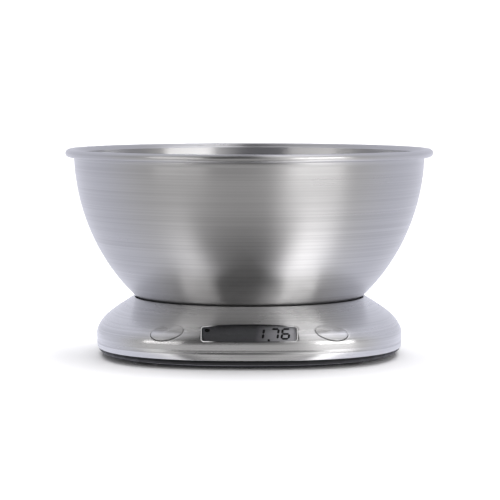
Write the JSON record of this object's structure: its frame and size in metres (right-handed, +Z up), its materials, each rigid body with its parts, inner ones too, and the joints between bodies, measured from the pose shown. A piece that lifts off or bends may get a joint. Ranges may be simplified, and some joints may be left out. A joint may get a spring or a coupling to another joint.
{
  "type": "kitchen scale",
  "caption": "Digital kitchen scale: a deep round steel bowl that lifts off a low steel base with a sloping display, flush oval buttons and a load cell inside.",
  "frame": {"origin": "middle of the base, on the surface that the feet stand on", "axes": "+Z up, -Y towards the display, +X to the right of a person who reads it"},
  "size_m": [0.24, 0.24, 0.1335],
  "materials": {
    "brushed_steel": "stainless steel sheet, brushed in fine level lines and lightly polished",
    "black_plastic": "fine moulded texture",
    "grey_plastic": "moulded, satin",
    "white_plastic": "moulded, satin",
    "rubber": "matt elastomer",
    "clear_plastic": "clear moulded acrylic, polished",
    "lcd_glass": "reflective liquid crystal panel behind a polariser",
    "aluminium": "milled bar and die casting",
    "zinc_steel": "zinc plated",
    "nickel": "nickel-plated spring steel",
    "green_board": "solder mask over glass fibre laminate",
    "black_epoxy": "cast epoxy",
    "silicone": "white silicone over the strain gauges",
    "cell_jacket": "plain printed jacket with no lettering",
    "red_wire": "wire insulation",
    "black_wire": "wire insulation",
    "grey_wire": "wire insulation"
  },
  "bodies": {
    "housing": {"bottom_pan": "black_plastic", "top_cover": "brushed_steel", "cover_frame": "grey_plastic", "foot_front_left": "rubber", "foot_front_right": "rubber", "foot_rear_left": "rubber", "foot_rear_right": "rubber", "housing_screw_front_left": "zinc_steel", "housing_screw_front_right": "zinc_steel", "housing_screw_rear_left": "zinc_steel", "housing_screw_rear_right": "zinc_steel", "load_cell": "aluminium", "gauge_coating_upper": "silicone", "gauge_coating_lower": "silicone", "cell_screw_1": "zinc_steel", "cell_screw_2": "zinc_steel", "overload_stop_screw": "zinc_steel", "display_lens": "clear_plastic", "lcd_panel": "lcd_glass", "lcd_holder": "black_plastic", "zebra_strip_upper": "rubber", "zebra_strip_lower": "rubber", "main_board": "green_board", "board_screw_left": "zinc_steel", "board_screw_right": "zinc_steel", "controller_blob": "black_epoxy", "converter_chip": "black_epoxy", "tact_switch_left": "black_plastic", "tact_switch_right": "black_plastic", "battery_front": "cell_jacket", "battery_rear": "cell_jacket", "battery_link_plate": "nickel", "link_spring": "nickel", "positive_contact": "nickel", "negative_contact": "nickel", "negative_spring": "nickel", "battery_lead_red": "red_wire", "battery_lead_black": "black_wire", "gauge_lead": "grey_wire"},
    "platform": {"weighing_platform": "grey_plastic", "grip_ring": "rubber", "platform_spider": "aluminium", "platform_screw_1": "zinc_steel", "platform_screw_2": "zinc_steel"},
    "bowl": {"bowl": "brushed_steel"},
    "button_left": {"button_cap_left": "brushed_steel", "button_plunger_left": "white_plastic", "switch_stem_left": "white_plastic"},
    "button_right": {"button_cap_right": "brushed_steel", "button_plunger_right": "white_plastic", "switch_stem_right": "white_plastic"},
    "battery_door": {"battery_door": "black_plastic"}
  },
  "joints": [
    {"name": "platform_load", "type": "slide", "parent": "housing", "child": "platform", "axis": [0, 0, 1], "range_m": [-0.0004, 0], "stiffness_N_per_m": 30000, "deforming": ["load_cell"]},
    {"name": "bowl_lift", "type": "slide", "parent": "platform", "child": "bowl", "axis": [0, 0, 1], "range_m": [0, 0.06]},
    {"name": "button_left_press", "type": "slide", "parent": "housing", "child": "button_left", "axis": [0, 0.742, -0.6704], "range_m": [0, 0.0005], "stiffness_N_per_m": 800},
    {"name": "button_right_press", "type": "slide", "parent": "housing", "child": "button_right", "axis": [0, 0.742, -0.6704], "range_m": [0, 0.0005], "stiffness_N_per_m": 800},
    {"name": "battery_door_hinge", "type": "hinge", "parent": "housing", "child": "battery_door", "pos_m": [0, 0.02735, 0.00305], "axis": [-1, 0, 0], "range_deg": [0, 80]}
  ]
}
